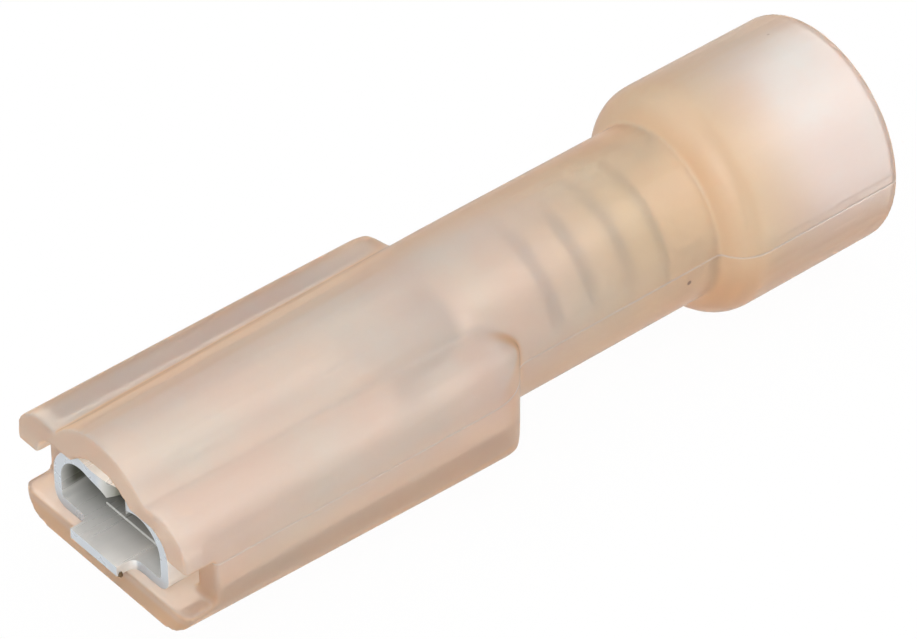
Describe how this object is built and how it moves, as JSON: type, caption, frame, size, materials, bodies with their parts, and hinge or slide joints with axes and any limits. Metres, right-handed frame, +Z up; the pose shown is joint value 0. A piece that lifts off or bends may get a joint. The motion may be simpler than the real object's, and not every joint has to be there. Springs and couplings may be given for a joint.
{
  "type": "female spade terminal",
  "caption": "Fully insulated female spade terminal: a translucent nylon housing with a wire funnel holds a folded tin-plated receptacle that grips a flat blade.",
  "frame": {"origin": "centre of the wire entry's rim, on the axis of the neck and funnel", "axes": "+Y along the axis, the way the wire leaves; +Z up, toward the lobes and the rolled wings, away from the receptacle's flat base; +X to the right as seen from the mouth side's rear, looking along +Y"},
  "size_m": [0.0054, 0.0192, 0.0052],
  "materials": {
    "flesh_nylon": "smooth translucent moulded nylon, semi-gloss",
    "tinned_brass": "bright tin plating over brass sheet"
  },
  "bodies": {
    "root": {"insulating_housing": "flesh_nylon", "receptacle_terminal": "tinned_brass"}
  },
  "joints": []
}
